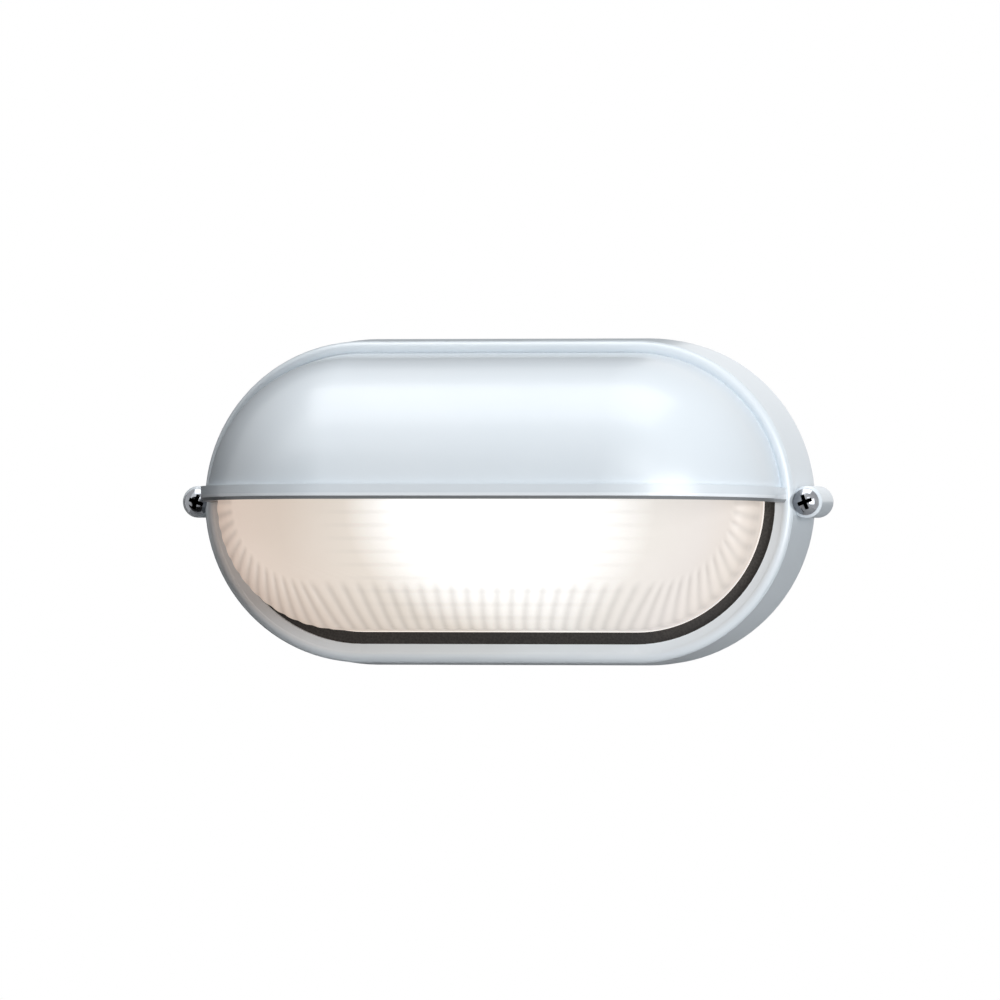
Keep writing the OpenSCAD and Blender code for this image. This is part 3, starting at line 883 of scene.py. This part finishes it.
    def build(self, finishes: Finishes) -> bpy.types.Object:
        """Builds the bowl and puts it in the CAD node's place.

        Args:
            finishes: the finishes to use.

        Returns:
            The bowl.
        """
        stations = self.stations()
        mesh = bmesh.new()
        seat = mesh.verts.layers.int.new("station")
        rib = mesh.verts.layers.float.new(RIB_LAYER)
        ring = bmesh.ops.create_circle(mesh, segments=len(stations), radius=self.glass_r)["verts"]
        for i, vert in enumerate(ring):
            vert[seat] = i
        edges = list(mesh.edges)
        layers = self.layers()
        self._settle(ring, layers[0], stations, seat, rib)
        bmesh.ops.contextual_create(mesh, geom=edges)
        for layer in layers[1:]:
            grown = bmesh.ops.extrude_edge_only(mesh, edges=edges)["geom"]
            verts = [g for g in grown if isinstance(g, bmesh.types.BMVert)]
            edges = [g for g in grown if isinstance(g, bmesh.types.BMEdge)]
            self._settle(verts, layer, stations, seat, rib)
        bmesh.ops.contextual_create(mesh, geom=edges)
        bmesh.ops.recalc_face_normals(mesh, faces=mesh.faces)
        glass = finishes.by_slot[Slot.FROSTED_GLASS]
        return finish_piece("ribbed_glass_bowl", mesh, glass, Slot.FROSTED_GLASS, "glass_diffuser")

    def _settle(self, verts: list[bmesh.types.BMVert], layer: GlassLayer, stations: list[RibStation],
                seat: bmesh.types.BMLayerItem, rib: bmesh.types.BMLayerItem) -> None:
        """Moves the points of a new ring to their places and notes how deep in a groove they lie."""
        for vert in verts:
            vert.co, vert[rib] = self.place(layer, stations[vert[seat]])


@dataclass(frozen=True)
class LipStation:
    """One place along the hood's lower edge.

    Attributes:
        x: x of the centre that the edge is measured from.
        out: distance of that centre from the wall.
        along_x: x of the direction from the centre to the edge.
        along_out: the direction's part away from the wall.
        reach: distance from the centre to the hood.
    """

    x: float
    out: float
    along_x: float
    along_out: float
    reach: float

    def mirrored(self) -> "LipStation":
        """The same place on the other side."""
        return LipStation(-self.x, self.out, -self.along_x, self.along_out, self.reach)


@dataclass
class BrimLip:
    """The rolled lip along the hood's lower edge.

    Attributes:
        half_run: half the distance between the centres of the hood's round ends.
        foot_r: reach of the hood at its foot.
        top_r: radius of the hood's plan at its round ends.
        foot_out: distance of the foot from the wall.
        turn_out: distance of the round ends' centres from the wall.
        hinge_out: distance from the wall at which the edge is at its set height.
        height: height of the brim's underside there.
        rise: angle at which the edge rises to the front, in degrees.
        profile: the lip's section as reach past the hood and height over the brim's underside, both in
            millimetres, and shade.
        steps: stations round each end.
    """

    half_run: float = 45.7 * MM
    foot_r: float = 48.6 * MM
    top_r: float = 47.5 * MM
    foot_out: float = 34.6 * MM
    turn_out: float = 45.9 * MM
    hinge_out: float = 35.4 * MM
    height: float = 1.8 * MM
    rise: float = 1.2
    profile: tuple[Triple, ...] = (
        (1.4, 0.55, 0.0), (2.06, 0.55, 0.0), (2.13, 0.3, 0.0), (2.16, 0.0, 0.0), (2.16, -0.75, 0.0),
        (2.12, -0.95, 0.1), (2.03, -1.05, 1.0), (1.4, -2.0, 1.0), (-0.8, -2.0, 1.0), (-0.8, 0.3, 1.0),
    )
    steps: int = 40

    def stations(self) -> list[LipStation]:
        """Places along the edge, from one foot to the other.

        Returns:
            The places in order.
        """
        places = [LipStation(-self.half_run, self.foot_out, -1.0, 0.0, self.foot_r)]
        for i in range(self.steps + 1):
            turn = math.pi - math.pi / 2 * i / self.steps
            along_x, along_out = math.cos(turn), math.sin(turn)
            places.append(LipStation(-self.half_run, self.turn_out, along_x, along_out, self.top_r))
        return places + [place.mirrored() for place in reversed(places)]

    def place(self, station: LipStation, point: Triple) -> Vector:
        """Where a point of the section lies at a station.

        Args:
            station: the station.
            point: the point of the section.

        Returns:
            The place.
        """
        reach = station.reach + point[0] * MM
        forward = station.out + reach * station.along_out - self.hinge_out
        up = point[1] * MM
        rise = math.radians(self.rise)
        out = self.hinge_out + forward * math.cos(rise) - up * math.sin(rise)
        z = self.height + up * math.cos(rise) + forward * math.sin(rise)
        return Vector((station.x + reach * station.along_x, -out, z))

    def build(self, finishes: Finishes) -> bpy.types.Object:
        """Builds the lip on the frame's brim.

        Args:
            finishes: the finishes to use.

        Returns:
            The lip.
        """
        mesh = bmesh.new()
        seat = mesh.verts.layers.int.new("seat")
        under = mesh.verts.layers.float.new(UNDER_SHADE_LAYER)
        stations = self.stations()
        ring = [mesh.verts.new(self.place(stations[0], point)) for point in self.profile]
        for i, vert in enumerate(ring):
            vert[seat] = i
        edges = [mesh.edges.new((ring[i - 1], ring[i])) for i in range(len(ring))]
        bmesh.ops.contextual_create(mesh, geom=edges)
        for station in stations[1:]:
            grown = bmesh.ops.extrude_edge_only(mesh, edges=edges)["geom"]
            edges = [g for g in grown if isinstance(g, bmesh.types.BMEdge)]
            for vert in (g for g in grown if isinstance(g, bmesh.types.BMVert)):
                vert.co = self.place(station, self.profile[vert[seat]])
        bmesh.ops.contextual_create(mesh, geom=edges)
        # Marks the points of the lip's lower edge that take painted shade.
        for vert in mesh.verts:
            vert[under] = self.profile[vert[seat]][2]
        bmesh.ops.recalc_face_normals(mesh, faces=mesh.faces)
        return finish_piece("brim_lip", mesh, finishes.lip, Slot.WHITE_PAINT)


def finish_piece(name: str, mesh: bmesh.types.BMesh, paint: bpy.types.Material, slot: Slot,
                 *nodes: str) -> bpy.types.Object:
    """Makes an object of a mesh, dresses it and hangs it on the frame.

    Args:
        name: the piece's name.
        mesh: its mesh, which is freed.
        paint: its material.
        slot: the slot that the material stands for; not used.
        nodes: CAD nodes that it stands for.

    Returns:
        The piece.
    """
    for face in mesh.faces:
        face.smooth = True
    for edge in mesh.edges:
        edge.smooth = edge.calc_face_angle(0.0) < CREASE
    data = bpy.data.meshes.new(name)
    mesh.to_mesh(data)
    mesh.free()
    piece = bpy.data.objects.new(name, data)
    bpy.context.scene.collection.objects.link(piece)
    data.materials.append(paint)
    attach(piece, BODY)
    if nodes:
        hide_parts(*nodes)
    LOG.info("built %s, %d faces", name, len(data.polygons))
    return piece


@dataclass(frozen=True)
class SoftLamp:
    """One large soft studio lamp.

    Attributes:
        name: the lamp's name.
        at: where it hangs.
        size: width and height.
        power: power, in watts.
        colour: colour of its light.
    """

    name: str
    at: Triple
    size: tuple[float, float]
    power: float
    colour: Colour = DAYLIGHT

    def hang(self, target: Vector) -> None:
        """Hangs the lamp so that it shines at a target.

        Args:
            target: the point to shine at.
        """
        light = bpy.data.lights.new(self.name, "AREA")
        light.shape = "RECTANGLE"
        light.size, light.size_y = self.size
        light.energy = self.power
        light.color = self.colour
        lamp = bpy.data.objects.new(self.name, light)
        lamp.location = self.at
        lamp.rotation_euler = (target - Vector(self.at)).to_track_quat("-Z", "Y").to_euler()
        bpy.context.scene.collection.objects.link(lamp)


@dataclass(frozen=True)
class DarkCard:
    """A dark studio card that bright surfaces mirror, out of the camera's sight.

    Attributes:
        name: the card's name.
        at: its middle.
        size: width and height.
    """

    name: str
    at: Triple
    size: tuple[float, float]

    def stand(self, paint: bpy.types.Material) -> None:
        """Stands the card upright, square to the wall.

        Args:
            paint: the card's material.
        """
        mesh = bmesh.new()
        bmesh.ops.create_grid(mesh, x_segments=1, y_segments=1, size=0.5)
        bmesh.ops.scale(mesh, vec=(*self.size, 1.0), verts=mesh.verts)
        bmesh.ops.rotate(mesh, matrix=Matrix.Rotation(math.radians(90.0), 3, "X"), verts=mesh.verts)
        bmesh.ops.translate(mesh, vec=self.at, verts=mesh.verts)
        data = bpy.data.meshes.new(self.name)
        mesh.to_mesh(data)
        mesh.free()
        data.materials.append(paint)
        card = bpy.data.objects.new(self.name, data)
        card.visible_camera = False
        bpy.context.scene.collection.objects.link(card)


@dataclass
class Studio:
    """Camera, lamps, pale floor and white surroundings.

    Attributes:
        target: the point that the camera looks at.
        distance: distance from the camera to the target.
        yaw: angle of the camera to the light's right, in degrees.
        focal: focal length on the sensor's width.
        sensor: width of the sensor.
        shift: picture shift that puts the target at its place in the photograph.
        clip: nearest and furthest distance that the camera sees.
        lamps: the soft lamps.
        ambient: strength of the surroundings' light.
        ambient_tint: colour of that light.
        floor_z: height of the floor.
        floor_half: half width of the floor.
        cards: the dark cards behind the light and to the camera's left.
    """

    target: Triple = (0.0, -0.0354, 0.0005)
    distance: float = 4.09
    yaw: float = 12.0
    focal: float = 450.8
    sensor: float = 36.0
    shift: tuple[float, float] = (0.0034, 0.0004)
    clip: tuple[float, float] = (0.1, 50.0)
    lamps: tuple[SoftLamp, ...] = (
        SoftLamp("key_lamp", (1.5, -1.5, 0.1), (1.3, 1.3), 33.0),
        SoftLamp("top_lamp", (0.0, -0.2, 2.0), (1.9, 1.5), 28.0),
        SoftLamp("fill_lamp", (0.75, -1.7, 1.0), (0.7, 0.5), 2.0),
        SoftLamp("left_lamp", (-0.9, -1.2, 1.5), (1.5, 1.3), 5.0),
    )
    ambient: float = 0.095
    ambient_tint: Colour = (0.96, 0.98, 1.0)
    floor_z: float = -0.45
    floor_half: float = 0.6
    cards: tuple[DarkCard, ...] = (
        DarkCard("back_left_card", (-0.6, 0.35, -0.1), (1.2, 1.2)),
        DarkCard("back_right_card", (0.6, 0.35, -0.36), (1.2, 0.72)),
        DarkCard("front_left_card", (-0.8, -1.1, 0.0), (0.95, 1.8)),
        DarkCard("low_left_card", (-0.2, -0.13, -0.25), (0.4, 0.36)),
    )

    def set_camera(self) -> None:
        """Makes the camera at the photograph's viewing angle."""
        target = Vector(self.target)
        yaw = math.radians(self.yaw)
        back = Vector((math.sin(yaw), -math.cos(yaw), 0.0))
        data = bpy.data.cameras.new("photo_camera")
        data.lens, data.sensor_width = self.focal, self.sensor
        data.shift_x, data.shift_y = self.shift
        data.clip_start, data.clip_end = self.clip
        camera = bpy.data.objects.new("photo_camera", data)
        camera.location = target + back * self.distance
        camera.rotation_euler = (-back).to_track_quat("-Z", "Y").to_euler()
        bpy.context.scene.collection.objects.link(camera)
        bpy.context.scene.camera = camera

    def set_lamps(self) -> None:
        """Hangs the soft lamps."""
        for lamp in self.lamps:
            lamp.hang(Vector(self.target))

    def set_world(self) -> None:
        """Makes the surroundings: white where they are seen, softer as a light."""
        world = bpy.data.worlds.new("white_surroundings")
        world.use_nodes = True
        world.node_tree.nodes.clear()
        sheet = NodeSheet(world.node_tree)
        rays = sheet.add("ShaderNodeLightPath")
        seen = sheet.math("MAXIMUM", rays.outputs["Is Camera Ray"], rays.outputs["Is Glossy Ray"])
        seen = sheet.math("MAXIMUM", seen, rays.outputs["Is Transmission Ray"])
        soft = sheet.add("ShaderNodeBackground")
        soft.inputs["Color"].default_value = (*self.ambient_tint, 1.0)
        soft.inputs["Strength"].default_value = self.ambient
        white = sheet.add("ShaderNodeBackground")
        white.inputs["Color"].default_value = (1.0, 1.0, 1.0, 1.0)
        mix = sheet.add("ShaderNodeMixShader")
        result = sheet.add("ShaderNodeOutputWorld")
        sheet.join(seen, mix.inputs["Fac"])
        sheet.join(soft.outputs[0], mix.inputs[1])
        sheet.join(white.outputs[0], mix.inputs[2])
        sheet.join(mix.outputs[0], result.inputs["Surface"])
        bpy.context.scene.world = world

    def lay_floor(self) -> None:
        """Lays the plain pale floor below the light."""
        mesh = bmesh.new()
        bmesh.ops.create_grid(mesh, x_segments=1, y_segments=1, size=self.floor_half,
                              matrix=Matrix.Translation((0.0, -self.floor_half / 2, self.floor_z)))
        data = bpy.data.meshes.new("pale_floor")
        mesh.to_mesh(data)
        mesh.free()
        floor = bpy.data.objects.new("pale_floor", data)
        bpy.context.scene.collection.objects.link(floor)
        finish = Finish("pale_floor_paint", (0.86, 0.86, 0.86), (0.84, 0.84, 0.84), drift_scale=3.0,
                        gloss=(0.7, 0.8))
        data.materials.append(finish.material())

    def stand_cards(self) -> None:
        """Stands the dark cards."""
        finish = Finish("dark_card_paint", (0.06, 0.06, 0.06), (0.05, 0.05, 0.05), drift_scale=3.0,
                        gloss=(0.8, 0.9))
        paint = finish.material()
        for card in self.cards:
            card.stand(paint)

    def build(self) -> None:
        """Sets up the whole studio."""
        bpy.context.scene.view_settings.view_transform = "Standard"
        self.set_camera()
        self.set_lamps()
        self.set_world()
        self.lay_floor()
        self.stand_cards()


def clear_scene() -> None:
    """Removes Blender's own starting objects."""
    for piece in list(bpy.data.objects):
        bpy.data.objects.remove(piece)


def main() -> None:
    """Builds the looks of the light round its frame."""
    logging.basicConfig(level=logging.INFO, format="%(message)s")
    clear_scene()
    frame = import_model()
    finishes = Finishes()
    CadPieces({
        Slot.WHITE_PAINT: ("front_frame", "back_housing"),
        Slot.FROSTED_GLASS: ("glass_diffuser",),
        Slot.DARK_FOAM: ("glass_gasket", "cable_grommet"),
        Slot.BRIGHT_SCREW: ("frame_screws",),
        Slot.PLATED_SHEET: ("lampholder_bracket", "bracket_screws", "holder_screws", "block_screw"),
        Slot.PORCELAIN: ("lampholder_body",),
        Slot.BRASS: ("lampholder_shell", "centre_contact", "terminal_screws", "earth_screw", "earth_washer"),
        Slot.LAMP_WHITE: ("lamp",),
        Slot.NYLON: ("terminal_block",),
        Slot.BROWN_SLEEVE: ("lead_live",),
        Slot.BLUE_SLEEVE: ("lead_neutral",),
    }).dress(frame, finishes)
    GlassBowl().build(finishes)
    BrimLip().build(finishes)
    Studio().build()


if __name__ == "__main__":
    main()
